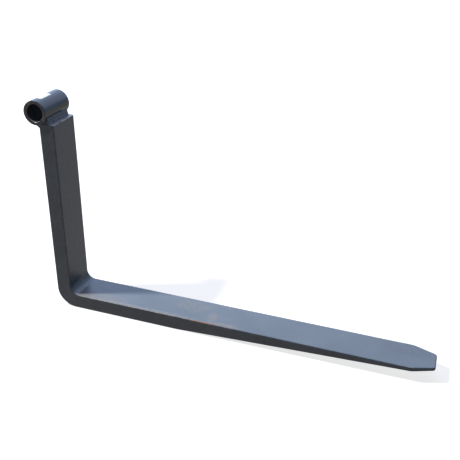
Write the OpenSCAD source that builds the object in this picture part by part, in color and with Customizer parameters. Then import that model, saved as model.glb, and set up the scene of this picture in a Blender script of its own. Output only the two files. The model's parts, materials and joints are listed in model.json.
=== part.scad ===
// Shaft-hung pallet fork: one bar, forged into a shank and a blade, with a tube welded
// across its top as the eye that hangs and slides on the carriage's shaft.
// X runs forward along the blade, Y across it and Z up. The origin is the middle of the
// eye's bore.

/* [Bar] */
// Width of the flat bar
bar_w = 120; // [80:1:200]
// Thickness of the flat bar
bar_t = 50; // [36:1:70]
// Radius rolled on the bar's long edges
edge_r = 4; // [1:0.5:8]

/* [Shank] */
// Height of the shank, from the blade's underside to the land on its top
shank_h = 645; // [400:5:1000]
// Radius that breaks the front edge of the land
land_r = 2; // [0.5:0.5:6]

/* [Heel] */
// Radius inside the bend
heel_in_r = 30; // [15:1:60]
// Radius outside the bend, smaller than a plain bend would give, because the heel is upset
heel_out_r = 65; // [45:1:90]

/* [Blade] */
// Length of the blade, from the shank's front face to the tip
blade_len = 1200; // [800:10:2000]
// Length of the flat underside ahead of the shank's front face, before the taper
flat_len = 385; // [150:5:600]
// Thickness of the blade at the tip
tip_t = 10; // [8:0.5:25]
// Width of the tip's front edge
tip_w = 70; // [45:1:110]
// Length over which the sides close in to the tip
tip_len = 70; // [30:1:150]
// Radius of the tip's front corners
tip_corner_r = 12; // [9:1:20]
// Radius of the shoulders, where the sides turn in
shoulder_r = 40; // [12:1:100]

/* [Eye] */
// Outside diameter of the eye tube
eye_od = 76; // [66:0.5:110]
// Diameter of the eye's bore
eye_bore = 55; // [30:0.5:64]
// Length of the eye tube
eye_len = 135; // [124:1:220]
// Chamfer at the mouths of the bore
mouth_chamfer = 1.5; // [0.5:0.5:4]
// Chamfer on the tube's outside corners
rim_chamfer = 1; // [0.5:0.5:3]
// Distance of the eye's axis behind the shank's rear face
eye_setback = 5; // [0:0.5:12]
// Depth of the saddle in the shank's top that the tube sits in
seat_depth = 2.5; // [1:0.5:12]

/* [Welds] */
// Leg of the front weld along the land, from the edge of the saddle
front_leg = 25; // [10:0.5:32]
// Height of the front weld up the tube, above the land
front_rise = 19; // [8:0.5:28]
// Number of passes that show on the front weld
front_passes = 2; // [1:1:4]
// Leg of the rear weld down the shank's rear face, from the edge of the saddle
rear_drop = 12; // [6:0.5:20]
// Reach of the rear weld under the tube, behind the shank's rear face
rear_reach = 24; // [12:0.5:32]
// Number of passes that show on the rear weld
rear_passes = 3; // [1:1:4]
// Share of the saddle that the rear weld's groove takes, bevelled off the shank's rear corner
groove_share = 0.5; // [0.2:0.05:0.8]
// Crown of each pass, the height of its middle above its two toes
crown = 0.8; // [0.3:0.1:2]
// Distance that both welds stop short of the bar's sides
weld_inset = 1; // [0:0.5:10]
// Radius of the corners at the ends of both welds
weld_end_r = 4; // [1:0.5:8]

/* [Hidden] */
$fn = 96;
arm_paint = "#44484d";
tube_paint = "#4b525b";
weld_paint = "#3b424a";
// Excess that carries a cutting or bounding shape clear of the surface that it trims
spare = 5;
// Overlap of shapes that join inside the steel
lap = 1;
// Height of the groove that stays bare below the rear weld
groove_lip = 0.5;

// Levels and faces of the arm, seen from the eye's axis
eye_r = eye_od / 2;
bore_r = eye_bore / 2;
land_z = seat_depth - eye_r;
base_z = land_z - shank_h;
rear_x = eye_setback;

// Lengths on the arm, from its rear face
bend = bar_t + heel_in_r;
arm_len = bar_t + blade_len;
taper_x = bar_t + flat_len;
taper_angle = atan((bar_t - tip_t) / (blade_len - flat_len));

// Plan of the tip, seen from the middle of its root: the angle at which each side closes
// in, and the centres of the arcs that round its two turns
tip_root = arm_len - 2 * tip_len;
closing = atan((bar_w - tip_w) / 2 / tip_len);
shoulder_c = [tip_len - shoulder_r * tan(closing / 2), bar_w / 2 - shoulder_r];
corner_c = [2 * tip_len - tip_corner_r, tip_w / 2 - tip_corner_r * tan((90 - closing) / 2)];

// Edges of the saddle, and the toes of the two welds, in the plane across the eye's axis
saddle_front = [sqrt(pow(eye_r, 2) - pow(land_z, 2)), land_z];
front_toe = saddle_front + [front_leg, 0];
front_top = on_tube_at_height(land_z + front_rise);
saddle_rear = under_tube_at(rear_x);
rear_toe = saddle_rear - [0, rear_drop];
rear_top = under_tube_at(rear_x - rear_reach);

// The rear weld's groove rises from a lip below the weld's lower toe to a point on the
// saddle, and its cut goes on as far again, into the tube
groove_foot = rear_toe - [0, groove_lip];
groove_root = under_tube_at(rear_x + groove_share * (saddle_front.x - rear_x));
groove_end = 2 * groove_root - groove_foot;

// The point on the front of the tube's outline at height z, and the one on its underside
// at x
function on_tube_at_height(z) = [sqrt(pow(eye_r, 2) - pow(z, 2)), z];
function under_tube_at(x) = [x, -sqrt(pow(eye_r, 2) - pow(x, 2))];

// Section through one face of the bar: the face lies on the Y axis, with its two corners
// rolled, and the steel reaches depth behind it
module face_section(depth) {
    translate([edge_r, -bar_w / 2]) square([depth - edge_r, bar_w]);
    translate([0, edge_r - bar_w / 2]) square([depth, bar_w - 2 * edge_r]);
    for (side = [-1, 1])
        translate([edge_r, side * (bar_w / 2 - edge_r)]) circle(edge_r);
}

// Shape bounded by the arm's rear face, its outer bend and its underside
module outer_faces() {
    translate([0, 0, heel_out_r])
        linear_extrude(shank_h - heel_out_r) face_section(bend);
    translate([heel_out_r, 0, heel_out_r])
        rotate([90, 0, 0])
            rotate_extrude(angle = 90, start = 180)
                translate([heel_out_r, 0]) mirror([1, 0]) face_section(heel_out_r);
    translate([heel_out_r, 0, 0])
        rotate([0, 90, 0])
            linear_extrude(blade_len + spare) mirror([1, 0]) face_section(bend);
}

// Shape bounded by the arm's front face, its inner bend and the top of the blade
module inner_faces() {
    translate([bar_t, 0, bend])
        mirror([1, 0, 0])
            linear_extrude(shank_h - bend) face_section(bar_t + spare);
    translate([bend, 0, bend])
        rotate([90, 0, 0])
            rotate_extrude(angle = 90, start = 180)
                translate([heel_in_r, 0]) face_section(sqrt(2) * bend + spare - heel_in_r);
    translate([bend, 0, bar_t])
        rotate([0, 90, 0])
            linear_extrude(tip_root - bend) face_section(bar_t + spare);
    translate([tip_root, 0, bar_t]) tip();
}

// Section of the tip's edge at y = out, with its top at 0 and its top corner rolled, and
// with the steel reaching in from that side
module rolled_section(out, reach) {
    depth = bar_t + spare;
    translate([out - reach, -depth]) square([reach, depth - edge_r]);
    translate([out - reach, -depth]) square([reach - edge_r, depth]);
    translate([out - edge_r, -edge_r]) intersection() {
        circle(edge_r);
        translate([-lap, -lap]) square(edge_r + 2 * lap);
    }
}

// A straight stretch of the tip's edge, along X
module rolled_run(length, out, reach) {
    rotate([90, 0, 90]) linear_extrude(length) rolled_section(out, reach);
}

// A turn of the tip's edge, as a round of its radius that the runs beside it close in on
module rolled_turn(r) {
    rotate_extrude() rolled_section(r, r);
}

// The shoulder's turn, kept to its own side of the tip and behind the front corner
module shoulder_turn() {
    intersection() {
        translate([shoulder_c.x, shoulder_c.y, 0]) rolled_turn(shoulder_r);
        translate([shoulder_c.x - shoulder_r - spare, -lap, -bar_t - 2 * spare])
            cube([
                corner_c.x - shoulder_c.x + shoulder_r + spare,
                bar_w / 2 + spare,
                bar_t + 3 * spare
            ]);
    }
}

// One side of the tip, from the shoulder along the closing side and round the front corner
// to just past the middle of the front edge
module tip_side() {
    closing_run = (corner_c - shoulder_c) * [cos(closing), -sin(closing)];
    shoulder_turn();
    translate([shoulder_c.x, shoulder_c.y, 0])
        rotate([0, 0, -closing]) {
            rolled_run(closing_run, shoulder_r, tip_w / 2);
            translate([closing_run, shoulder_r - tip_corner_r, 0]) {
                rolled_turn(tip_corner_r);
                rotate([0, 0, closing - 90])
                    rolled_run(corner_c.y + lap, tip_corner_r, tip_corner_r);
            }
        }
}

// The tip, with its root at x = 0 and its top at z = 0: the bar as far as the shoulders,
// the two sides, and a core between them whose outline lies behind their rolled corners
module tip() {
    inset = (edge_r + min(shoulder_r, tip_corner_r)) / 2;
    corner_turn = (closing + 90) / 2;
    core = [
        [shoulder_c.x / 2, bar_w / 2 - inset],
        shoulder_c + (shoulder_r - inset) * [sin(closing / 2), cos(closing / 2)],
        corner_c + (tip_corner_r - inset) * [sin(corner_turn), cos(corner_turn)]
    ];
    rotate([0, 90, 0]) linear_extrude(shoulder_c.x) face_section(bar_t + spare);
    tip_side();
    mirror([0, 1, 0]) tip_side();
    translate([0, 0, -bar_t - spare])
        linear_extrude(bar_t + spare)
            polygon([for (p = core) p, for (i = [len(core) - 1:-1:0]) [core[i].x, -core[i].y]]);
}

// Shape bounded by the tapered underside, which rises to the tip, with its edges rolled
module taper_face() {
    behind = taper_x + spare;
    ahead = arm_len - taper_x + bar_t;
    translate([taper_x, 0, 0])
        rotate([0, -taper_angle, 0])
            translate([-behind, 0, 0])
                rotate([0, 90, 0])
                    linear_extrude(behind + ahead) mirror([1, 0]) face_section(shank_h + taper_x);
}

// Shape bounded by the land, with its front edge broken
module land_face() {
    rotate([90, 0, 0])
        linear_extrude(bar_w + 2 * spare, center = true) {
            translate([-spare, -spare]) square([arm_len + 2 * spare, bend + spare]);
            translate([-spare, 0]) square([bar_t - land_r + spare, shank_h]);
            square([bar_t, shank_h - land_r]);
            translate([bar_t - land_r, shank_h - land_r]) circle(land_r);
        }
}

// Wedge cut off the top corner of the shank's rear face, which the rear weld fills
module weld_groove() {
    rotate([90, 0, 0])
        linear_extrude(bar_w + 2 * spare, center = true)
            polygon([
                groove_foot,
                groove_end,
                [rear_x - spare, groove_end.y],
                groove_foot - [spare, 0]
            ]);
}

// Shank, heel and blade, forged from one bar, with the saddle for the eye and the rear
// weld's groove cut in its top
module fork_arm() {
    color(arm_paint) difference() {
        translate([rear_x, 0, base_z]) intersection() {
            outer_faces();
            inner_faces();
            taper_face();
            land_face();
        }
        rotate([90, 0, 0]) cylinder(h = bar_w + 2 * spare, r = eye_r, center = true);
        weld_groove();
    }
}

// Eye tube, turned from thick-walled tube, with its corners and bore mouths chamfered
module eye_tube() {
    end = eye_len / 2;
    color(tube_paint) rotate([90, 0, 0]) rotate_extrude() polygon([
        [bore_r + mouth_chamfer, -end],
        [eye_r - rim_chamfer, -end],
        [eye_r, rim_chamfer - end],
        [eye_r, end - rim_chamfer],
        [eye_r - rim_chamfer, end],
        [bore_r + mouth_chamfer, end],
        [bore_r, end - mouth_chamfer],
        [bore_r, mouth_chamfer - end]
    ]);
}

// One pass of weld, as the circle through its two toes that stands a crown proud of them,
// with the weld on the left of the line from one toe to the other
module pass_section(from, to) {
    half = norm(to - from) / 2;
    r = (pow(half, 2) + pow(crown, 2)) / (2 * crown);
    along = (to - from) / (2 * half);
    translate((from + to) / 2 + (r - crown) * [-along.y, along.x]) circle(r);
}

// Passes side by side over the face of a weld, from one of its toes to the other
module passes_section(from, to, passes) {
    for (i = [1:passes])
        pass_section(from + (to - from) * (i - 1) / passes, from + (to - from) * i / passes);
}

// A weld: its section run across the bar, with the corners of its two ends rounded in plan
// between x = back and x = front
module weld_run(back, front) {
    half = bar_w / 2 - weld_inset;
    intersection() {
        rotate([90, 0, 0]) linear_extrude(bar_w + 2 * spare, center = true) children();
        translate([0, 0, rear_toe.y - spare]) linear_extrude(eye_od) {
            translate([back + weld_end_r, -half]) square([front - back - 2 * weld_end_r, 2 * half]);
            translate([back, weld_end_r - half])
                square([front - back, 2 * (half - weld_end_r)]);
            for (x = [back + weld_end_r, front - weld_end_r], s = [-1, 1])
                translate([x, s * (half - weld_end_r)]) circle(weld_end_r);
        }
    }
}

// Front weld, in the corner between the tube and the land
module front_weld() {
    color(weld_paint) weld_run(-spare, front_toe.x + crown) difference() {
        intersection() {
            union() {
                polygon([[0, land_z], front_toe - [lap, 0], front_top - [lap, 0], [0, 0]]);
                passes_section(front_toe, front_top, front_passes);
            }
            translate([0, land_z]) square([front_toe.x + spare, eye_r - land_z]);
        }
        circle(eye_r);
    }
}

// Rear weld, in the groove and the corner between the tube's underside and the shank's
// rear face
module rear_weld() {
    color(weld_paint) difference() {
        weld_run(rear_top.x - crown, groove_root.x + spare + weld_end_r) difference() {
            union() {
                polygon([rear_top + [lap, 0], rear_toe + [lap, 0], groove_end, [0, 0]]);
                intersection() {
                    passes_section(rear_top, rear_toe, rear_passes);
                    translate([rear_x - eye_od, rear_toe.y - spare])
                        square([eye_od + edge_r, eye_od]);
                }
            }
            circle(eye_r);
        }
        difference() {
            translate([rear_x, 0, base_z])
                linear_extrude(shank_h + spare) face_section(bar_t);
            weld_groove();
        }
    }
}

fork_arm();
eye_tube();
front_weld();
rear_weld();
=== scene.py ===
"""A shaft-hung pallet fork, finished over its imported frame.

The fork hangs from the middle of its eye, which is the origin. X runs forward along the
blade, Y across it and Z up, all in metres. Each sub-assembly is a class that holds its
sizes, builds its surfaces and dresses them.
"""

import json
import logging
import math
from collections.abc import Callable, Sequence
from dataclasses import dataclass
from enum import Enum
from functools import partial
from typing import Any

import bmesh
import bpy
import numpy as np
from mathutils import Matrix, Vector


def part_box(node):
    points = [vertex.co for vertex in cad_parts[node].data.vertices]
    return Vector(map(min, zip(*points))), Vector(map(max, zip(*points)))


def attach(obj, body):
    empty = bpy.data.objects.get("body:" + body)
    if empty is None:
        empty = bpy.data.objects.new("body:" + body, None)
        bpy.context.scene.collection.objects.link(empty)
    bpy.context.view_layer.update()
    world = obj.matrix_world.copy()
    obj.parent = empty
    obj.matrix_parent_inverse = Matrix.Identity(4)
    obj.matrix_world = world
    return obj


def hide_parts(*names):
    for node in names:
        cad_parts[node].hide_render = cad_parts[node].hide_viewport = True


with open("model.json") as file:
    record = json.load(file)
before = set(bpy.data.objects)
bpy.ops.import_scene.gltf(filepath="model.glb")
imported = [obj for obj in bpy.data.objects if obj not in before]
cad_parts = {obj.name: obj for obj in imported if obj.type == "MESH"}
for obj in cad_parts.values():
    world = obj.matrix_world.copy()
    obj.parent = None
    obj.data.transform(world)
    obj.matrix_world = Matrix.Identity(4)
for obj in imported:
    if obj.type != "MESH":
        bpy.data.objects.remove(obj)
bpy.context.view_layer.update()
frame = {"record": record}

Array = np.ndarray
Piece = bpy.types.Object
Material = bpy.types.Material
Socket = bpy.types.NodeSocket
Adder = Callable[..., Socket]
Pair = tuple[float, float]
Point = tuple[float, float, float]

LOG = logging.getLogger("fork")
MM = 0.001
RIGHT_ANGLE = math.pi / 2
BODY = "root"
PHOTO_PIXELS = 460
WHITE = (1.0, 1.0, 1.0, 1.0)

# X and Z where the shank's top turns: the foot of the rear weld's groove, on the rear face,
# the groove's root in the saddle, and the edge where the saddle meets the land.
GROOVE_FOOT = (0.005, -0.05017)
GROOVE_ROOT = (0.00928, -0.03685)
SADDLE_EDGE = (0.01356, -0.0355)
EYE_RADIUS = 0.038

# A mix of two colours, whose sockets go by number because its other kinds share their
# names, and a range with soft ends.
FIRST, SECOND = 6, 7
COLOUR_MIX = {"out": 2, "data_type": "RGBA"}
SMOOTH = {"interpolation_type": "SMOOTHSTEP"}


def linear(colour: str) -> tuple[float, float, float, float]:
    """Turns an sRGB hex value into linear light.

    Each channel c becomes c / 12.92 below 0.04045, and ((c + 0.055) / 1.055) ^ 2.4 above.

    Args:
        colour: the value as "#rrggbb".

    Returns:
        The linear red, green and blue, with an alpha of 1.
    """
    srgb = np.array([int(colour[i : i + 2], 16) for i in (1, 3, 5)]) / 255
    light = np.where(srgb <= 0.04045, srgb / 12.92, ((srgb + 0.055) / 1.055) ** 2.4)
    return (*(float(c) for c in light), 1.0)


def add_node(
    tree: bpy.types.NodeTree,
    kind: str,
    inputs: dict[str | int, Any] | Sequence[Any] = (),
    out: str | int = 0,
    **settings: Any,
) -> Socket | None:
    """Adds one node with its settings and links.

    Args:
        tree: the node tree of a material or of the world.
        kind: the node's type without its "ShaderNode", such as "TexNoise".
        inputs: values, or output sockets of other nodes, as a list in the order of the
            node's inputs or by their names or numbers.
        out: the name or number of the output that is wanted.
        settings: the node's own properties.

    Returns:
        The wanted output socket, or None where the node has no output.
    """
    made = tree.nodes.new(f"ShaderNode{kind}")
    for name, value in settings.items():
        setattr(made, name, value)
    for key, value in inputs.items() if isinstance(inputs, dict) else enumerate(inputs):
        if isinstance(value, Socket):
            tree.links.new(value, made.inputs[key])
        else:
            made.inputs[key].default_value = value
    return made.outputs[out] if len(made.outputs) else None


def start_tree(owner: Material | bpy.types.World) -> Adder:
    """Starts an empty node tree.

    Args:
        owner: the material or the world that the tree belongs to.

    Returns:
        add_node for that tree.
    """
    owner.use_nodes = True
    owner.node_tree.nodes.clear()
    return partial(add_node, owner.node_tree)


def join(*parts: Array | float) -> Array:
    """Joins coordinates, of which some may be fixed values, into points."""
    return np.stack(np.broadcast_arrays(*parts), -1)


def quarter(count: int) -> Array:
    """Spaces angles evenly from 0 to a right angle."""
    return np.linspace(0, RIGHT_ANGLE, count)


def swell(points: Array, wavelength: float, seed: int) -> Array:
    """Gives a smooth random field over points in space.

    The field is a sum of 12 plane waves, cos(2 pi k.p + phase), whose directions, lengths
    and phases are drawn from the seed, over the square root of twice their number. Their
    lengths lie within a factor of 1.6 of the wavelength.

    Args:
        points: positions, in an array whose last axis is X, Y, Z.
        wavelength: the middle length of the waves.
        seed: the seed of the random draws.

    Returns:
        One value for each point, mostly between -1 and 1.
    """
    waves, spread = 12, 1.6
    draw = np.random.default_rng(seed)
    ways = draw.normal(size=(waves, 3))
    ways /= np.linalg.norm(ways, axis=1, keepdims=True)
    lengths = wavelength * spread ** draw.uniform(-1, 1, waves)
    phases = draw.uniform(0, 2 * math.pi, waves)
    angle = 2 * math.pi * points @ (ways / lengths[:, None]).T + phases
    return np.cos(angle).sum(axis=-1) / math.sqrt(2 * waves)


def roll_drop(distance: Array, radius: Array | float) -> Array:
    """Gives how far a rolled edge lies below its face.

    The edge is a quarter circle: the drop is r - sqrt(r^2 - (r - d)^2) where the distance d
    from the side is under the radius r, and 0 further in.

    Args:
        distance: distance from the side.
        radius: radius of the rolled edge.

    Returns:
        The drop below the face.
    """
    into = np.clip(radius - np.clip(distance, 0, None), 0, None)
    return radius - np.sqrt(np.clip(radius**2 - into**2, 0, None))


def loft_faces(rings: int, around: int) -> list[list[int]]:
    """Lists the faces of a stack of rings that is closed by a pole at each end.

    Args:
        rings: number of rings, whose points are numbered ring by ring, with the pole of the
            first ring and that of the last one after them.
        around: number of points in a ring.

    Returns:
        The quads between the rings and the triangles at the poles, as point numbers.
    """
    here = np.arange(around)
    after = (here + 1) % around
    base = np.arange(rings - 1)[:, None] * around
    quads = join(base + here, base + after, base + around + after, base + around + here)
    poles = rings * around
    end = poles - around
    top = join(poles, after, here)
    bottom = join(poles + 1, end + here, end + after)
    return quads.reshape(-1, 4).tolist() + top.tolist() + bottom.tolist()


def make_piece(
    name: str,
    points: Array,
    faces: list[list[int]],
    finishes: list[Material],
    sharp_degrees: float | None = None,
) -> Piece:
    """Makes a mesh object whose faces point outwards, shaded smooth between sharp edges.

    The volume between the faces and the origin is negative where they point inwards, and
    then they are flipped.

    Args:
        name: the object's name.
        points: positions in the part's frame.
        faces: the point numbers of each face.
        finishes: the materials, of which the first one covers the piece.
        sharp_degrees: the angle between two faces from which their edge stays sharp.

    Returns:
        The object, linked to the scene at the origin.
    """
    mesh = bpy.data.meshes.new(name)
    mesh.from_pydata(points.reshape(-1, 3).tolist(), [], faces)
    mesh.validate()
    shell = bmesh.new()
    shell.from_mesh(mesh)
    if shell.calc_volume(signed=True) < 0:
        mesh.flip_normals()
    shell.free()
    mesh.shade_smooth()
    if sharp_degrees is not None:
        mesh.set_sharp_from_angle(angle=math.radians(sharp_degrees))
    for finish in finishes:
        mesh.materials.append(finish)
    piece = bpy.data.objects.new(name, mesh)
    bpy.context.scene.collection.objects.link(piece)
    return piece


def mark_edges(piece: Piece, values: Array) -> None:
    """Stores how near each point of a piece is to a rubbed edge, for its enamel to read."""
    layer = piece.data.attributes.new("edge", "FLOAT", "POINT")
    layer.data.foreach_set("value", values.reshape(-1).astype(np.float32))


@dataclass(frozen=True)
class ScuffOrPaintedLight:
    """A patch on the paint: a rubbed place, or painted light laid on like one.

    Attributes:
        middle, reach: the middle of an ellipsoid and its half axes.
        colour, cover: the patch's own colour, and how much of the paint it hides.
        steepest, margin: the least upward part of the surface's direction on which it lies,
            and how far that limit is softened to each side.
        core: the share of the reach within which it doesn't fade.
        grit_span, cover_span: the grit at which it is most broken and at which it is whole,
            and the share of the cover at each.
    """

    middle: Point
    reach: Point
    colour: str
    cover: float
    steepest: float = 0.7
    margin: float = 0.1
    core: float = 0.35
    grit_span: Pair = (0.33, 0.66)
    cover_span: Pair = (0.3, 1.25)

    def lay(self, add: Adder, colour: Socket, place: Socket, grit: Socket, upward: Socket) -> Socket:
        """Lays the patch on a colour. It fades away from its middle and is broken by grit.

        Args:
            add: adds a node to the material.
            colour: the colour under the patch.
            place: object coordinates.
            grit: a noise between 0 and 1.
            upward: the upward part of the surface's direction.

        Returns:
            The colour with the patch.
        """
        centre = tuple(-m / r for m, r in zip(self.middle, self.reach))
        scale = tuple(1 / r for r in self.reach)
        centred = add("Mapping", {"Vector": place, "Location": centre, "Scale": scale})
        far = add("VectorMath", [centred], "Value", operation="LENGTH")
        fade = add("MapRange", [far, 1.0, self.core], **SMOOTH)
        covers = (share * self.cover for share in self.cover_span)
        broken = add("MapRange", [grit, *self.grit_span, *covers])
        cover = add("Math", [fade, broken], operation="MULTIPLY")
        limit = (self.steepest - self.margin, self.steepest + self.margin)
        level = add("MapRange", [upward, *limit], **SMOOTH)
        cover = add("Math", [cover, level], operation="MULTIPLY")
        return add("Mix", {0: cover, FIRST: colour, SECOND: linear(self.colour)}, **COLOUR_MIX)


# The heights of the blade's top and of its rolled edge, the tube's near end, and a limit on
# steepness that leaves a scuff on every side.
BLADE_TOP = -0.6305
BLADE_EDGE = -0.6308
TUBE_END = -0.0675
ANY_SLOPE = -1.2

ARM_SCUFFS_AND_PAINTED_LIGHT = (
    # Painted highlight: a pale warm patch on the lit part of the blade's top near the heel, beside the
    # shank's shadow.
    ScuffOrPaintedLight((0.15, -0.0400, BLADE_TOP), (0.14, 0.0400, 0.02), "#979088", 0.48),
    # A paler strip along the near edge of the blade's top.
    ScuffOrPaintedLight((0.30, -0.0545, BLADE_TOP), (0.34, 0.0130, 0.02), "#b3ada2", 0.36),
    ScuffOrPaintedLight((0.40, -0.0588, BLADE_EDGE), (0.26, 0.0026, 0.02), "#b0957e", 0.60),
    ScuffOrPaintedLight((0.525, -0.0582, BLADE_EDGE), (0.062, 0.0040, 0.02), "#b27b50", 1.0),
    ScuffOrPaintedLight((0.47, 0.0200, BLADE_TOP), (0.085, 0.0480, 0.02), "#9a978c", 0.34),
    ScuffOrPaintedLight((0.580, 0.0540, BLADE_TOP), (0.035, 0.0120, 0.02), "#a8978c", 0.40),
    ScuffOrPaintedLight((0.605, -0.0500, BLADE_TOP), (0.060, 0.0130, 0.02), "#ab9f8c", 0.62),
    ScuffOrPaintedLight((0.552, -0.0230, BLADE_TOP), (0.022, 0.0420, 0.02), "#a79d8c", 0.42),
    # A darker grey patch on the blade's top near the tip.
    ScuffOrPaintedLight((1.17, 0.0300, BLADE_TOP), (0.110, 0.050, 0.02), "#5d646c", 0.40),
    # Painted light: the land in front of the tube lifted to a pale warm grey, where the tube shades it from
    # the key lamp.
    ScuffOrPaintedLight((0.050, 0.0, -0.0358), (0.016, 0.120, 0.006), "#ddd5cf", 0.95, steepest=0.2),
)
TUBE_SCUFFS = (
    ScuffOrPaintedLight((0.0325, TUBE_END, -0.0110), (0.009, 0.010, 0.020), "#7b5844", 0.72, ANY_SLOPE),
    ScuffOrPaintedLight((-0.0140, TUBE_END, 0.0290), (0.014, 0.006, 0.007), "#705548", 0.50, ANY_SLOPE),
)
WELD_PAINTED_HIGHLIGHT = (
    # Painted highlight: a pale grey band on the front weld's lower pass, next to the land.
    ScuffOrPaintedLight((0.040, 0.0, -0.0345), (0.010, 0.120, 0.008), "#a5a7a9", 0.65, steepest=-0.2),
)


@dataclass(frozen=True)
class SemiGlossEnamel:
    """Sprayed alkyd enamel in anthracite on shot-blasted steel.

    It gives the eye a dark, slightly blue grey with a soft gloss that mirrors the sky on
    what faces up, long flow marks, a pale bluish film there that is partly dust and partly
    painted sky light, and thin rubbed edges.

    Attributes:
        deep, thin: the paint's two greys, mixed over blotch_span of the noises' sum.
        dust_and_sheen, dust_and_sheen_cover: the film's colour, partly dust and partly painted
            sky light, and how much it hides, which dust_and_sheen_swing varies.
        dust_and_sheen_span: the upward part of the surface's direction at which it starts and is full.
        rubbed, rubbed_cover: the colour of rubbed edges, and how much of the paint it hides.
        rub_span: the grit at which the rub starts and is full.
        roughness, gloss_span: the gloss, and how far the clouds move it.
        cloud_span: the clouds' values between which they act.
    """

    name: str
    deep: str = "#2e3238"
    thin: str = "#3b3f46"
    blotch_span: Pair = (0.75, 1.25)
    dust_and_sheen: str = "#919da6"
    dust_and_sheen_cover: float = 0.62
    dust_and_sheen_swing: Pair = (0.88, 1.12)
    dust_and_sheen_span: Pair = (0.78, 0.99)
    rubbed: str = "#6e6a66"
    rubbed_cover: float = 0.35
    rub_span: Pair = (0.40, 0.56)
    roughness: float = 0.36
    gloss_span: Pair = (-0.03, 0.05)
    ior: float = 1.5
    cloud_span: Pair = (0.3, 0.7)
    cloud_mm: float = 120
    grit_mm: float = 14
    flow_length_mm: float = 90
    flow_width_mm: float = 9
    flow_depth_mm: float = 0.03
    scuffs_and_painted_light: tuple[ScuffOrPaintedLight, ...] = ()

    def build(self) -> Material:
        """Builds the material in its layers, from the paint to its gloss and flow marks.

        Returns:
            The material, which reads object coordinates and the "edge" attribute.
        """
        material = bpy.data.materials.new(self.name)
        add = start_tree(material)
        place = add("TexCoord", out="Object")
        upward = add("SeparateXYZ", [add("NewGeometry", out="Normal")], "Z")
        coarse, fine = 1 / (self.cloud_mm * MM), 1 / (self.grit_mm * MM)
        clouds = add("TexNoise", {"Vector": place, "Scale": coarse, "Detail": 3.0})
        grit = add("TexNoise", {"Vector": place, "Scale": fine, "Detail": 5.0})
        # The paint's two greys, mixed by the sum of the noises.
        both = add("Math", [clouds, grit], operation="ADD")
        blotches = add("MapRange", [both, *self.blotch_span])
        greys = {0: blotches, FIRST: linear(self.deep), SECOND: linear(self.thin)}
        colour = add("Mix", greys, **COLOUR_MIX)
        # Dust and painted sky light on what faces up, a little thicker in the clouds.
        level = add("MapRange", [upward, *self.dust_and_sheen_span], **SMOOTH)
        covers = (share * self.dust_and_sheen_cover for share in self.dust_and_sheen_swing)
        patchy = add("MapRange", [clouds, *self.cloud_span, *covers])
        dusted_and_sheened = add("Math", [level, patchy], operation="MULTIPLY")
        colour = add("Mix", {0: dusted_and_sheened, FIRST: colour, SECOND: linear(self.dust_and_sheen)}, **COLOUR_MIX)
        # The rub along the edges, broken by grit, and the scuffs and patches of painted light.
        edge = add("Attribute", out="Fac", attribute_name="edge")
        worn = add("MapRange", [grit, *self.rub_span, 0.0, self.rubbed_cover], **SMOOTH)
        rub = add("Math", [edge, worn], operation="MULTIPLY")
        colour = add("Mix", {0: rub, FIRST: colour, SECOND: linear(self.rubbed)}, **COLOUR_MIX)
        for scuff_or_light in self.scuffs_and_painted_light:
            colour = scuff_or_light.lay(add, colour, place, grit, upward)
        # Gloss that varies with the clouds, over flow marks stretched along X and Z.
        glosses = (self.roughness + step for step in self.gloss_span)
        gloss = add("MapRange", [clouds, *self.cloud_span, *glosses])
        along, across = 1 / (self.flow_length_mm * MM), 1 / (self.flow_width_mm * MM)
        stretched = add("Mapping", {"Vector": place, "Scale": (along, across, along)})
        flow = add("TexNoise", {"Vector": stretched, "Scale": 1.0, "Detail": 4.0})
        depth = self.flow_depth_mm * MM
        bump = add("Bump", {"Height": flow, "Distance": depth, "Strength": 1.0})
        coat = {"Base Color": colour, "Roughness": gloss, "IOR": self.ior, "Normal": bump}
        add("OutputMaterial", [add("BsdfPrincipled", coat)])
        return material


@dataclass(frozen=True)
class BoreScale:
    """Bare bore of a hot-rolled steel tube, left unpainted and cut clean at its mouths.

    It gives the eye a nearly black mill scale, brown rust towards the mouths and a thin
    bright line of cut steel on their chamfers.
    """

    name: str = "bore_mill_scale"
    scale: str = "#0a0908"
    rust: str = "#3f322b"
    cut: str = "#8f8d8a"
    mouth: float = 0.0675
    rust_reach: float = 0.012
    cut_reach: float = 0.0030
    cover: float = 0.9
    grit_mm: float = 5
    grit_depth_mm: float = 0.1
    roughness: float = 0.85
    ior: float = 1.45

    def build(self) -> Material:
        """Builds the material, in which the rust is broken by grit.

        Returns:
            The material, which reads object coordinates.
        """
        material = bpy.data.materials.new(self.name)
        add = start_tree(material)
        place = add("TexCoord", out="Object")
        along = add("SeparateXYZ", [place], "Y")
        depth = add("Math", [along], operation="ABSOLUTE")
        grit = add("TexNoise", {"Vector": place, "Scale": 1 / (self.grit_mm * MM), "Detail": 5.0})
        rust_start = self.mouth - self.rust_reach
        rusting = add("MapRange", [depth, rust_start, self.mouth, 0.0, self.cover])
        rusty = add("Math", [rusting, grit], operation="MULTIPLY")
        colour = add("Mix", {0: rusty, FIRST: linear(self.scale), SECOND: linear(self.rust)}, **COLOUR_MIX)
        cuts = (self.mouth - self.cut_reach, self.mouth - self.cut_reach / 2)
        chamfer = add("MapRange", [depth, *cuts, 0.0, self.cover])
        colour = add("Mix", {0: chamfer, FIRST: colour, SECOND: linear(self.cut)}, **COLOUR_MIX)
        bump = add("Bump", {"Height": grit, "Distance": self.grit_depth_mm * MM})
        steel = {"Base Color": colour, "Roughness": self.roughness, "IOR": self.ior, "Normal": bump}
        add("OutputMaterial", [add("BsdfPrincipled", steel)])
        return material


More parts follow.
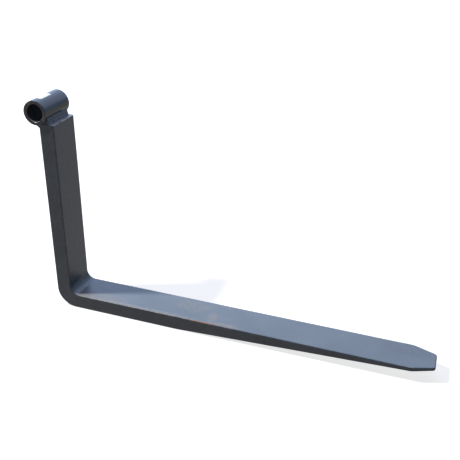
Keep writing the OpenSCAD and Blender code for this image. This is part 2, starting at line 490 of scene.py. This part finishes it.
@dataclass(frozen=True)
class LabelPaper:
    """Bare white label paper with a matt coating, smoothed on by hand.

    It gives the eye a clean cool white with very faint creases, and painted shade along them.
    """

    name: str = "label_paper"
    white: str = "#f1f4f3"
    shade: str = "#e6e9e8"
    crease_mm: float = 9
    crease_depth_mm: float = 0.15
    roughness: float = 0.55
    ior: float = 1.47

    def build(self) -> Material:
        """Builds the material.

        Returns:
            The material, which reads object coordinates.
        """
        material = bpy.data.materials.new(self.name)
        add = start_tree(material)
        place = add("TexCoord", out="Object")
        size = 1 / (self.crease_mm * MM)
        crease = add("TexNoise", {"Vector": place, "Scale": size, "Detail": 2.0})
        # Painted shade along the creases: the white turns to the shade colour as the crease noise rises.
        colour = add("Mix", {0: crease, FIRST: linear(self.white), SECOND: linear(self.shade)}, **COLOUR_MIX)
        bump = add("Bump", {"Height": crease, "Distance": self.crease_depth_mm * MM})
        paper = {"Base Color": colour, "Roughness": self.roughness, "IOR": self.ior, "Normal": bump}
        add("OutputMaterial", [add("BsdfPrincipled", paper)])
        return material


@dataclass
class ForkArm:
    """Shank, heel and blade, forged from one bar.

    Sizes that the frame gives are taken from it: the bar's width, the land's height and the
    tip. In the arm's own plane, x is measured from the rear face and z from the underside.

    Attributes:
        tip_width, tip_length: the width left by the closing sides, and their run.
        shoulder, tip_corner: radii of the arcs at the start and the end of the closing sides.
        under_run: the share of that run on which the underside's edge radius narrows.
        rub_reach: how far the rub reaches in from a rolled edge, in its radii.
        closing_shares: sizes of the rings that close each end, as shares of its first one.
        wall_depths: how far from the outer face the other points of a wall stand.
        unevenness: how deep the hammered surface dips, in two lengths of wave.
    """

    finish: Material
    thickness: float = 0.050
    edge_radius: float = 0.004
    heel_inside: float = 0.030
    heel_outside: float = 0.065
    flat_length: float = 0.385
    tip_thickness: float = 0.010
    tip_width: float = 0.070
    tip_length: float = 0.070
    tip_corner: float = 0.012
    shoulder: float = 0.040
    land_radius: float = 0.002
    under_radius_at_tip: float = 0.0012
    under_run: float = 0.25
    rub_reach: float = 1.5
    closing_shares: tuple[float, ...] = (0.85, 0.6, 0.3)
    wall_depths: tuple[float, ...] = (
        0.044, 0.036, 0.028, 0.020, 0.014, 0.011, 0.0072, 0.0058, 0.0028, 0.0014
    )
    unevenness: float = 0.00025
    long_wave: float = 0.16
    short_wave: float = 0.045
    long_share: float = 0.65
    shank_stations: int = 130
    heel_stations: int = 40
    blade_stations: int = 230
    closing_stations: int = 26
    face_columns: int = 42
    land_points: int = 6
    roll_points: int = 8
    shoulder_points: int = 9
    corner_points: int = 17

    def __post_init__(self) -> None:
        """Reads the arm's place and overall sizes from the frame and sets out the tip's arcs."""
        low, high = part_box("fork_arm")
        self.rear, _, self.base = low
        self.half_width = high[1]
        self.length = high[0] - low[0]
        self.height = high[2] - low[2]
        turn = math.atan((self.half_width - self.tip_width / 2) / self.tip_length)
        shoulder_x = self.length - self.tip_length - self.shoulder * math.tan(turn / 2)
        corner_y = self.tip_width / 2 - self.tip_corner * math.tan((RIGHT_ANGLE - turn) / 2)
        self.closing = turn
        self.shoulder_centre = np.array([shoulder_x, self.half_width - self.shoulder])
        self.corner_centre = np.array([self.length - self.tip_corner, corner_y])

    def outline(self) -> Array:
        """Follows the side of the blade's plan from the bend to the tip's front edge.

        The side runs straight to the shoulder, turns on the shoulder's arc, closes in on a
        straight line, and turns on the corner's arc until it is square to the blade.

        Returns:
            A row of distances from the rear face and a row of half widths.
        """
        start, end = self.thickness + self.heel_inside, self.shoulder_centre[0]
        straight = join(np.linspace(start, end, self.blade_stations)[:-1], self.half_width)
        first = np.linspace(0, self.closing, self.shoulder_points)
        second = np.linspace(self.closing, RIGHT_ANGLE, self.corner_points)
        arc = self.shoulder_centre + self.shoulder * join(np.sin(first), np.cos(first))
        corner = self.corner_centre + self.tip_corner * join(np.sin(second), np.cos(second))
        closing = np.linspace(arc[-1], corner[0], self.closing_stations)[1:-1]
        return np.concatenate([straight, arc, closing, corner]).T

    def from_rim(self, x: Array, y: Array) -> Array:
        """Gives the distance from the rim of the blade's plan, inward.

        It is the least distance from the side, the closing line and the front edge, and on
        the arcs of the shoulder and the corner it is the radius less the distance from the
        arc's centre.

        Args:
            x: distance from the rear face.
            y: distance across, from the middle.

        Returns:
            The distance from the rim.
        """
        across = np.abs(y)
        out = np.array([math.sin(self.closing), math.cos(self.closing)])
        along = np.array([math.cos(self.closing), -math.sin(self.closing)])
        at = join(x, across)
        from_shoulder = at - self.shoulder_centre
        from_corner = at - self.corner_centre
        gap = np.minimum(self.half_width - across, self.length - x)
        gap = np.minimum(gap, self.shoulder - from_shoulder @ out)
        on_shoulder = (from_shoulder[..., 0] > 0) & (from_shoulder @ along < 0)
        on_corner = (from_corner[..., 1] > 0) & (from_corner @ along > 0)
        gap = np.where(on_shoulder, self.shoulder - np.linalg.norm(from_shoulder, axis=-1), gap)
        return np.where(on_corner, self.tip_corner - np.linalg.norm(from_corner, axis=-1), gap)

    def across(self, half: Array, radius: Array) -> Array:
        """Spaces points across a face, close together on its rolled edges.

        Args:
            half: half width at each station.
            radius: radius of the rolled edge at each station.

        Returns:
            Distances across, from the -Y side to the +Y side, one row for each station.
        """
        edge = radius[:, None] * (1 - np.cos(quarter(self.roll_points)))
        inner = (half - radius)[:, None] * np.linspace(-1, 1, self.face_columns)[1:-1]
        return np.concatenate([edge - half[:, None], inner, half[:, None] - edge[:, ::-1]], 1)

    def stations(self) -> tuple[Array, ...]:
        """Draws the bar's side view as two lines of stations.

        The inner line starts on the land's rounded edge, runs straight down the shank,
        turns on the heel's inner arc and runs out along the blade's top. The outer line
        keeps pace with it down the rear face, round the heel's outer arc and along the
        underside, which rises evenly from the end of its flat to the tip.

        Returns:
            For each station from the land to the tip: its points on the inner line and on
            the outer line, as x and z, how far the bar has turned, half of its width, and
            the share of the tip's closing run that is behind.
        """
        t, bend = self.thickness, self.thickness + self.heel_inside
        inside, outside, edge = self.heel_inside, self.heel_outside, self.land_radius
        land = self.height - edge
        roll = quarter(self.land_points)
        down = np.linspace(0, 1, self.shank_stations)[1:]
        heel = quarter(self.heel_stations)[1:-1]
        blade_x, blade_half = self.outline()
        inner = [
            join(t - edge * (1 - np.sin(roll)), land + edge * np.cos(roll)),
            join(t, land + (bend - land) * down),
            join(bend - inside * np.cos(heel), bend - inside * np.sin(heel)),
            join(blade_x, t),
        ]
        upper = len(roll) + len(down)
        share = (blade_x - blade_x[0]) / (blade_x[-1] - blade_x[0])
        under_x = outside + share * (blade_x[-1] - outside)
        taper_x = t + self.flat_length
        slope = (t - self.tip_thickness) / (self.length - taper_x)
        outer = [
            join(0.0, np.linspace(self.seat_height(0.0), outside, upper)),
            join(outside * (1 - np.cos(heel)), outside * (1 - np.sin(heel))),
            join(under_x, slope * np.clip(under_x - taper_x, 0, None)),
        ]
        before = np.zeros(upper + len(heel))
        closing_x = self.shoulder_centre[0]
        closed = np.clip((blade_x - closing_x) / (self.length - closing_x), 0, 1)
        return (
            np.concatenate(inner),
            np.concatenate(outer),
            np.concatenate([np.zeros(upper), heel, np.full(len(blade_x), RIGHT_ANGLE)]),
            np.concatenate([before + self.half_width, blade_half]),
            np.concatenate([before, closed]),
        )

    def rings(self) -> tuple[Array, Array]:
        """Carries the bar's rounded section along its bend, as a stack of rings.

        A ring joins a point of the inner line to one of the outer line. It crosses the
        inner face, goes down one wall, crosses back on the outer face and comes up the
        other wall.

        Returns:
            The rings' points, and how close each point is to a rolled edge, from 0 to 1.
        """
        inner, outer, turned, half, tip = self.stations()
        on_blade = turned >= RIGHT_ANGLE
        inner_out = join(np.cos(turned), np.sin(turned))
        outer_out = -inner_out
        outer_out[on_blade] = [0.0, -1.0]
        radius = np.full(len(half), self.edge_radius)
        top_y = self.across(half, radius)
        gap = half[:, None] - np.abs(top_y)
        gap[on_blade] = self.from_rim(inner[on_blade, :1], top_y[on_blade])
        drop = roll_drop(gap, self.edge_radius)
        top = inner[:, None] - inner_out[:, None] * drop[..., None]
        narrowing = np.clip(tip / self.under_run, 0, 1)
        under = radius + (self.under_radius_at_tip - radius) * narrowing
        low_y = self.across(half, under)[:, ::-1]
        low_gap = half[:, None] - np.abs(low_y)
        low_drop = roll_drop(low_gap, under[:, None])
        bottom = outer[:, None] - outer_out[:, None] * low_drop[..., None]
        # Two points of each wall stand where the shank's top turns, at the saddle's edge and
        # at the groove's root.
        saddle, groove = (point[0] - GROOVE_FOOT[0] for point in (SADDLE_EDGE, GROOVE_ROOT))
        depths = sorted([*self.wall_depths, saddle, groove], reverse=True)
        share = (np.array(depths) / self.thickness)[:, None]
        right = bottom[:, :1] + share * (top[:, -1:] - bottom[:, :1])
        left = bottom[:, -1:] + share[::-1] * (top[:, :1] - bottom[:, -1:])
        x, z = np.moveaxis(np.concatenate([top, right, bottom, left], 1), -1, 0)
        wall = np.repeat(half[:, None], len(share), 1)
        y = np.concatenate([top_y, wall, low_y, -wall], 1)
        reach = self.rub_reach * self.edge_radius
        near, low_near = (np.clip(1 - distance / reach, 0, 1) for distance in (gap, low_gap))
        return join(x, y, z), np.concatenate([near, 0 * wall, low_near, 0 * wall], 1)

    def seat_height(self, x: Array | float) -> Array:
        """Gives the height of the shank's top: the land, the saddle or the rear weld's groove.

        The saddle is the underside of a circle of the tube's radius: its height is that of
        the axis less sqrt(r^2 - (x - axis)^2). The groove is a slope on the rear corner.
        The lowest of the three counts.

        Args:
            x: distance from the rear face.

        Returns:
            Height above the blade's underside.
        """
        inside = np.clip(EYE_RADIUS**2 - (x + self.rear) ** 2, 0, None)
        saddle = np.minimum(self.height, -self.base - np.sqrt(inside))
        foot, root = (np.array(p) - [self.rear, self.base] for p in (GROOVE_FOOT, GROOVE_ROOT))
        groove = foot[1] + (x - foot[0]) * (root[1] - foot[1]) / (root[0] - foot[0])
        return np.minimum(saddle, groove)

    def build(self) -> Piece:
        """Builds the arm as one closed skin and dresses it.

        Rings that shrink to a point close the land and the tip's front face. The skin then
        dips a little along long random waves, as a hammered and pressed bar does.

        Returns:
            The arm.
        """
        rings, edge = self.rings()
        rings[0, :, 2] = self.seat_height(rings[0, :, 0])
        shrink = np.array(self.closing_shares)[:, None]
        middle = self.thickness / 2
        cap_x = middle + shrink * (rings[0, :, 0] - middle)
        cap = join(cap_x, shrink * rings[0, :, 1], self.seat_height(cap_x))[::-1]
        centre = np.array([self.length, 0, rings[-1, :, 2].mean()])
        face = centre + shrink[..., None] * (rings[-1] - centre)
        stack = np.concatenate([cap, rings, face])
        first = [middle, 0, self.seat_height(middle)]
        points = np.concatenate([stack.reshape(-1, 3), [first, centre]])
        points += [self.rear, 0, self.base]
        faces = loft_faces(*stack.shape[:2])
        piece = make_piece("fork_arm_skin", points, faces, [self.finish], 50)
        self.press(piece)
        plain = np.zeros(cap.size // 3)
        mark_edges(piece, np.concatenate([plain, edge.reshape(-1), plain, [0, 0]]))
        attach(piece, BODY)
        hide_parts("fork_arm")
        return piece

    def press(self, piece: Piece) -> None:
        """Moves each point inward by the unevenness times (1 + wave) / 2.

        Args:
            piece: the arm.
        """
        count = len(piece.data.vertices)
        places = np.zeros(count * 3, np.float32)
        outward = np.zeros(count * 3, np.float32)
        piece.data.vertices.foreach_get("co", places)
        piece.data.vertex_normals.foreach_get("vector", outward)
        places = places.reshape(-1, 3).astype(float)
        wave = self.long_share * swell(places, self.long_wave, seed=3)
        wave += (1 - self.long_share) * swell(places, self.short_wave, seed=4)
        dip = self.unevenness * np.clip(1 + wave, 0, 2) / 2
        places -= outward.reshape(-1, 3) * dip[:, None]
        piece.data.vertices.foreach_set("co", places.reshape(-1).astype(np.float32))


@dataclass
class EyeTube:
    """The tube across the top of the shank: turned outside, bored and chamfered.

    Attributes:
        bare_share: the share of the mouth's chamfer that is left unpainted.
        rim_rub, end_rub, mouth_rub: how far the rub reaches in from the outer edge, along
            the tube from its end, and out from the bore.
        unevenness: how far the outside dips, in waves of the length wave.
    """

    finish: Material
    bore_finish: Material
    mouth_chamfer: float = 0.0015
    rim_chamfer: float = 0.001
    bare_share: float = 0.4
    rim_rub: float = 0.003
    end_rub: float = 0.002
    mouth_rub: float = 0.005
    unevenness: float = 0.0001
    wave: float = 0.05
    around: int = 192
    outside_points: int = 40
    bore_points: int = 32
    rim_points: int = 5
    ring_points: int = 7
    mouth_points: int = 4

    def __post_init__(self) -> None:
        """Reads the tube's sizes from the frame and its bore from the record."""
        low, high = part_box("eye_tube")
        self.radius = (high[2] - low[2]) / 2
        self.half_length = high[1]
        bore = next(m for m in frame["record"]["mounts"] if m["name"] == "shaft_bore")
        self.bore_radius = bore["dims"]["r_mm"] * MM

    def profile(self) -> tuple[Array, Array]:
        """Runs round the tube's section: outside, end, mouth, bore, mouth and end.

        Returns:
            Radius and place along Y of each point, and whether it lies in the bore.
        """
        r, b, end = self.radius, self.bore_radius, self.half_length
        rim, mouth = self.rim_chamfer, self.mouth_chamfer
        turn = quarter(self.rim_points)[1:]
        outside = np.linspace([r, rim - end], [r, end - rim], self.outside_points)
        rounded = join(r - rim * (1 - np.cos(turn)), end - rim * (1 - np.sin(turn)))
        ring = np.linspace([r - rim, end], [b + mouth, end], self.ring_points)[1:]
        lead = np.linspace([b + mouth, end], [b, end - mouth], self.mouth_points)[1:]
        inside = np.linspace([b, end - mouth], [b, mouth - end], self.bore_points)[1:-1]
        half = np.concatenate([rounded, ring, lead])
        loop = np.concatenate([outside, half, inside, half[::-1] * [1, -1]])
        return loop, loop[:, 0] < b + self.bare_share * mouth

    def rubbing(self, loop: Array) -> Array:
        """Gives how rubbed each point of the section is, on the outer edge and the end ring.

        Args:
            loop: radius and place along Y of each point.

        Returns:
            A value from 0 to 1 for each point.
        """
        from_end = self.half_length - np.abs(loop[:, 1])
        rim = np.clip(1 - (self.radius - loop[:, 0]) / self.rim_rub, 0, 1)
        rim = rim * np.clip(1 - from_end / self.end_rub, 0, 1)
        ring = np.clip(1 - (loop[:, 0] - self.bore_radius) / self.mouth_rub, 0, 1)
        return np.maximum(rim, ring * (from_end < self.end_rub))

    def build(self) -> Piece:
        """Turns the section about the Y axis and dresses it.

        A point at radius r and angle a lies at (r sin a, y, r cos a).

        Returns:
            The tube.
        """
        loop, in_bore = self.profile()
        grid = (self.around, len(loop))
        angle = np.linspace(0, 2 * math.pi, self.around, endpoint=False)[:, None]
        points = join(loop[:, 0] * np.sin(angle), loop[:, 1], loop[:, 0] * np.cos(angle))
        dip = np.clip(1 + swell(points, self.wave, seed=8), 0, 2) * self.unevenness / 2
        points[..., ::2] *= np.where(in_bore, 1, 1 - dip / self.radius)[..., None]
        row = np.arange(self.around)[:, None] * len(loop)
        next_row = np.roll(row, -1)
        here = np.arange(len(loop))
        after = np.roll(here, -1)
        faces = join(row + here, row + after, next_row + after, next_row + here)
        finishes = [self.finish, self.bore_finish]
        piece = make_piece("eye_tube_skin", points, faces.reshape(-1, 4).tolist(), finishes, 30)
        in_bore_face = np.broadcast_to(in_bore & np.roll(in_bore, -1), grid).astype(np.int32)
        piece.data.polygons.foreach_set("material_index", in_bore_face.reshape(-1))
        mark_edges(piece, np.broadcast_to(self.rubbing(loop), grid))
        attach(piece, BODY)
        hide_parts("eye_tube")
        return piece


class WeldPlace(Enum):
    """Which corner between the tube and the shank a weld fills."""

    FRONT = "front_weld"
    REAR = "rear_weld"


@dataclass
class WeldBead:
    """A multi-pass fillet weld along the tube, painted over with the rest.

    Attributes:
        place: the corner that it fills.
        root: the corner's innermost point, as X and Z.
        first_toe, last_toe: where the face of the weld starts and ends.
        passes: how many beads lie side by side.
        swing, swing_length: how the crown's height varies, and over what length, in which a
            pass has the room pass_width.
        bow, lag: how far ripples lag at the edges of a pass and from pass to pass, in pitches.
        end_power: the power of the superellipse on which an end is rounded.
        end_share: the share of the section that is left at the very end.
        sunk: how far the back lies past the root, in the metal.
    """

    place: WeldPlace
    finish: Material
    root: Pair
    first_toe: Pair
    last_toe: Pair
    passes: int
    crown: float = 0.0006
    swing: float = 0.25
    swing_length: float = 0.02
    pass_width: float = 0.01
    half_length: float = 0.059
    end_radius: float = 0.004
    end_power: float = 2.4
    end_share: float = 0.015
    ripple_pitch: float = 0.0034
    ripple_height: float = 0.00014
    bow: float = 1.4
    lag: float = 0.37
    sunk: float = 0.0006
    around_pass: int = 13
    stations: int = 300

    def stand(self, share: Array, y: Array) -> Array:
        """Gives how far the face stands above the line between the toes.

        Across a pass, with s from 0 to 1, it stands 4 s (1 - s) times the crown. From that
        come off ripples along the weld, which follow 1 - |sin| of the distance plus a bow
        that lags at the pass's edges, as a pool freezes.

        Args:
            share: the share of the face's width that each point has behind it.
            y: each ring's place along Y.

        Returns:
            The height of each point, one row for each ring.
        """
        s = share * self.passes % 1
        hump = 4 * s * (1 - s)
        bow = self.bow * self.ripple_pitch * (2 * s - 1) ** 2
        lag = self.lag * ((np.arange(len(share)) - 1) // self.around_pass)
        cycle = (y[:, None] + bow) / self.ripple_pitch + lag
        ripple = (1 - np.abs(np.sin(math.pi * cycle))) * np.sqrt(hump)
        wave = swell(join(y[:, None], s * self.pass_width, 0.0), self.swing_length, self.passes)
        return hump * self.crown * (1 + self.swing * wave) - self.ripple_height * ripple

    def build(self) -> Piece:
        """Builds the weld as a skin of rings along Y and dresses it.

        A ring is the face of the weld and one point behind the root. Towards each end it
        shrinks to the root on a quarter of a superellipse.

        Returns:
            The weld.
        """
        root, a, b = (np.array(p) for p in (self.root, self.first_toe, self.last_toe))
        share = np.linspace(0, 1, self.passes * self.around_pass + 1)
        y = np.linspace(-self.half_length, self.half_length, self.stations)
        side = np.array([a[1] - b[1], b[0] - a[0]]) / np.linalg.norm(b - a)
        side *= np.sign((a + b - 2 * root) @ side)
        skin = a + share[:, None] * (b - a) + side * self.stand(share, y)[..., None]
        inward = root - (a + b) / 2
        back = root + self.sunk * inward / np.linalg.norm(inward)
        ring = np.concatenate([skin, np.broadcast_to(back, (len(y), 1, 2))], 1)
        past = np.clip((np.abs(y) - (self.half_length - self.end_radius)) / self.end_radius, 0, 1)
        round_end = (1 - past**self.end_power) ** (1 / self.end_power)
        keep = round_end * (1 - self.end_share) + self.end_share
        ring = root + keep[:, None, None] * (ring - root)
        points = join(ring[..., 0], y[:, None], ring[..., 1]).reshape(-1, 3)
        everything = np.concatenate([points, join(root[0], y[[0, -1]], root[1])])
        faces = loft_faces(*ring.shape[:2])
        piece = make_piece(f"{self.place.value}_bead", everything, faces, [self.finish], 60)
        mark_edges(piece, np.zeros(len(everything)))
        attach(piece, BODY)
        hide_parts(self.place.value)
        return piece


@dataclass
class PaperLabel:
    """The bare paper label smoothed over the top of the eye tube.

    Attributes:
        front_degrees, rear_degrees: the angles from the top at which it ends.
        lift: how far its creases rise and fall, over crease_length.
        stand_off: how far it stands off the tube, in lifts.
    """

    finish: Material
    radius: float = EYE_RADIUS
    front_degrees: float = 17
    rear_degrees: float = -62
    near_end: float = -0.040
    far_end: float = 0.015
    paper: float = 0.00010
    lift: float = 0.00003
    stand_off: float = 1.5
    crease_length: float = 0.02
    across: int = 40

    def build(self) -> Piece:
        """Bends a sheet round the tube, gives it the paper's thickness and dresses it.

        A point at angle a from the top, towards +X, lies at radius r plus a small random
        lift, at (r sin a, y, r cos a).

        Returns:
            The label.
        """
        angle = np.radians(np.linspace(self.rear_degrees, self.front_degrees, self.across))[:, None]
        y = np.linspace(self.near_end, self.far_end, self.across)
        flat = join(self.radius * angle, y, 0.0)
        wave = swell(flat, self.crease_length, seed=11)
        r = self.radius + self.lift * (self.stand_off + wave)
        points = join(r * np.sin(angle), y, r * np.cos(angle))
        step = np.arange(self.across - 1)
        here = step[:, None] * self.across + step
        faces = join(here, here + self.across, here + self.across + 1, here + 1)
        piece = make_piece("paper_label", points, faces.reshape(-1, 4).tolist(), [self.finish])
        wall = piece.modifiers.new("paper", "SOLIDIFY")
        wall.thickness = self.paper
        wall.offset = 1
        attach(piece, BODY)
        return piece


@dataclass(frozen=True)
class PhotoCamera:
    """The photograph's viewpoint, fitted to the edges of the fork in it."""

    azimuth: float = 18.25
    elevation: float = 27.61
    roll: float = 1.27
    distance: float = 2.04055
    target: Point = (0.59856, 0.0, -0.31272)
    focal_pixels: float = 674.09
    sensor_mm: float = 36

    def place(self) -> None:
        """Makes the camera and sets it as the scene's.

        It looks at the target from the azimuth, measured from -Y towards +X, and the
        elevation, and is then rolled about its own line of sight.
        """
        a, e, r = (math.radians(v) for v in (self.azimuth, self.elevation, self.roll))
        back = Vector((math.sin(a) * math.cos(e), -math.cos(a) * math.cos(e), math.sin(e)))
        right = Vector((math.cos(a), math.sin(a), 0))
        up = back.cross(right)
        turned_right = math.cos(r) * right + math.sin(r) * up
        turned_up = -math.sin(r) * right + math.cos(r) * up
        lens = bpy.data.cameras.new("photo_camera")
        lens.sensor_fit = "HORIZONTAL"
        lens.sensor_width = self.sensor_mm
        lens.lens = self.sensor_mm * self.focal_pixels / PHOTO_PIXELS
        camera = bpy.data.objects.new("photo_camera", lens)
        turn = Matrix((turned_right, turned_up, back)).transposed().to_4x4()
        camera.matrix_world = Matrix.Translation(Vector(self.target) + self.distance * back) @ turn
        bpy.context.scene.collection.objects.link(camera)
        bpy.context.scene.camera = camera


@dataclass(frozen=True)
class SoftLamp:
    """A square soft lamp, given by the way to it and by how bright it looks."""

    name: str
    way: Point
    distance: float
    size: float
    brightness: float
    colour: str

    def place(self, aim: Vector) -> None:
        """Makes the lamp, facing the aim.

        Its power is pi times its area times its brightness, so that a lamp of brightness 1
        looks as bright as white does.

        Args:
            aim: the point that the lamp faces.
        """
        data = bpy.data.lights.new(self.name, "AREA")
        data.size = self.size
        data.energy = math.pi * self.size**2 * self.brightness
        data.color = linear(self.colour)[:3]
        lamp = bpy.data.objects.new(self.name, data)
        way = Vector(self.way).normalized()
        turn = way.to_track_quat("Z", "Y").to_matrix().to_4x4()
        lamp.matrix_world = Matrix.Translation(aim + self.distance * way) @ turn
        bpy.context.scene.collection.objects.link(lamp)


@dataclass
class Studio:
    """Plain pale floor, pale surroundings and soft lamps.

    Seen by the camera or through glass, the floor and the surroundings are white. Mirrored
    in the enamel, the floor is a light grey and the surroundings are a pale blue sky.

    Attributes:
        pale: the floor's own colour, which takes the lamps' light and the fork's shadow.
        glow, glow_span: what lifts it to white near the fork and far off, and how far off.
        mirrored_floor: how bright the floor is where it is mirrored.
        ambient: how bright the surroundings are as a light.
        sky, sky_strength: their colour, and how bright they are where they are mirrored.
        aim: the point that the lamps face.
    """

    floor_half: float = 14.0
    pale: str = "#c6c6c6"
    glow: Pair = (0.76, 1.0)
    glow_span: Pair = (1.2, 3.5)
    mirrored_floor: float = 0.68
    ambient: float = 0.03
    sky: str = "#afd5ff"
    sky_strength: float = 1.05
    aim: Point = (0.55, 0.0, -0.45)
    lamps: tuple[SoftLamp, ...] = (
        SoftLamp("sky_panel", (-0.185, 0.822, 0.537), 3.0, 4.2, 1.42, "#d0daff"),
        SoftLamp("key_panel", (-0.5975, -0.1937, 0.7782), 3.6, 0.2, 830, "#ffffff"),
    )

    def build(self, floor_height: float) -> None:
        """Builds the floor, the world, the lamps and the camera.

        Args:
            floor_height: the height of the underside that stands on the floor.
        """
        self.build_floor(floor_height)
        self.build_world()
        for lamp in self.lamps:
            lamp.place(Vector(self.aim))
        PhotoCamera().place()

    def sort_rays(self, add: Adder) -> tuple[Socket, Socket]:
        """Tells rays that see a thing directly, or through glass, and rays that mirror it.

        Args:
            add: adds a node to the floor's material or to the world.

        Returns:
            1 for direct rays, and 1 for glossy rays.
        """
        rays = add("LightPath").node.outputs
        seen = [rays["Is Camera Ray"], rays["Is Transmission Ray"]]
        return add("Math", seen, operation="MAXIMUM"), rays["Is Glossy Ray"]

    def build_floor(self, height: float) -> None:
        """Lays the floor, whose pale grey the camera sees lifted to white.

        Args:
            height: the floor's height.
        """
        h = self.floor_half
        mesh = bpy.data.meshes.new("floor")
        corners = [(-h, -h, height), (h, -h, height), (h, h, height), (-h, h, height)]
        mesh.from_pydata(corners, [], [(0, 1, 2, 3)])
        floor = bpy.data.objects.new("floor", mesh)
        bpy.context.scene.collection.objects.link(floor)
        material = bpy.data.materials.new("studio_floor")
        add = start_tree(material)
        direct, glossy = self.sort_rays(add)
        away = add("VectorMath", [add("TexCoord", out="Object")], "Value", operation="LENGTH")
        glow = add("MapRange", [away, *self.glow_span, *self.glow], **SMOOTH)
        pale = add("BsdfDiffuse", [linear(self.pale)])
        lifted = add("AddShader", [pale, add("Emission", [WHITE, glow])])
        lit = add("MixShader", [direct, pale, lifted])
        mirrored = add("Emission", [WHITE, self.mirrored_floor])
        add("OutputMaterial", [add("MixShader", [glossy, lit, mirrored])])
        mesh.materials.append(material)

    def build_world(self) -> None:
        """Sets the surroundings: white to see, sky blue to mirror, and faint as a light."""
        world = bpy.data.worlds.new("studio")
        bpy.context.scene.world = world
        add = start_tree(world)
        direct, glossy = self.sort_rays(add)
        white = add("Background", [WHITE, 1.0])
        soft = add("Background", [linear(self.sky), self.ambient])
        sky = add("Background", [linear(self.sky), self.sky_strength])
        shown = add("MixShader", [glossy, soft, sky])
        add("OutputWorld", [add("MixShader", [direct, shown, white])])


def main() -> None:
    """Builds the finishes, the fork's pieces and the studio in order."""
    logging.basicConfig(level=logging.INFO, format="%(name)s %(message)s")
    arm_enamel = SemiGlossEnamel("arm_enamel", rubbed_cover=0.12, scuffs_and_painted_light=ARM_SCUFFS_AND_PAINTED_LIGHT)
    tube_enamel = SemiGlossEnamel(
        "tube_enamel",
        deep="#1a1f24",
        thin="#22282e",
        dust_and_sheen_cover=0.03,
        rubbed="#75523f",
        rubbed_cover=0.60,
        roughness=0.23,
        ior=1.45,
        flow_length_mm=14,
        flow_width_mm=60,
        scuffs_and_painted_light=TUBE_SCUFFS,
    )
    weld_enamel = SemiGlossEnamel(
        "weld_enamel", dust_and_sheen_cover=0.09, ior=1.45, flow_length_mm=9, scuffs_and_painted_light=WELD_PAINTED_HIGHLIGHT
    ).build()
    assemblies = (
        ForkArm(arm_enamel.build()),
        EyeTube(tube_enamel.build(), BoreScale().build()),
        WeldBead(
            WeldPlace.FRONT,
            weld_enamel,
            root=SADDLE_EDGE,
            first_toe=(0.03856, -0.0355),
            last_toe=(0.03423, -0.0165),
            passes=2,
        ),
        WeldBead(
            WeldPlace.REAR,
            weld_enamel,
            root=GROOVE_ROOT,
            first_toe=(-0.019, -0.03291),
            last_toe=(0.005, -0.04967),
            passes=3,
        ),
        PaperLabel(LabelPaper().build()),
    )
    for assembly in assemblies:
        piece = assembly.build()
        LOG.info("%s: %d faces", piece.name, len(piece.data.polygons))
    Studio().build(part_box("fork_arm")[0][2])
    bpy.context.scene.view_settings.view_transform = "Standard"


if __name__ == "__main__":
    main()
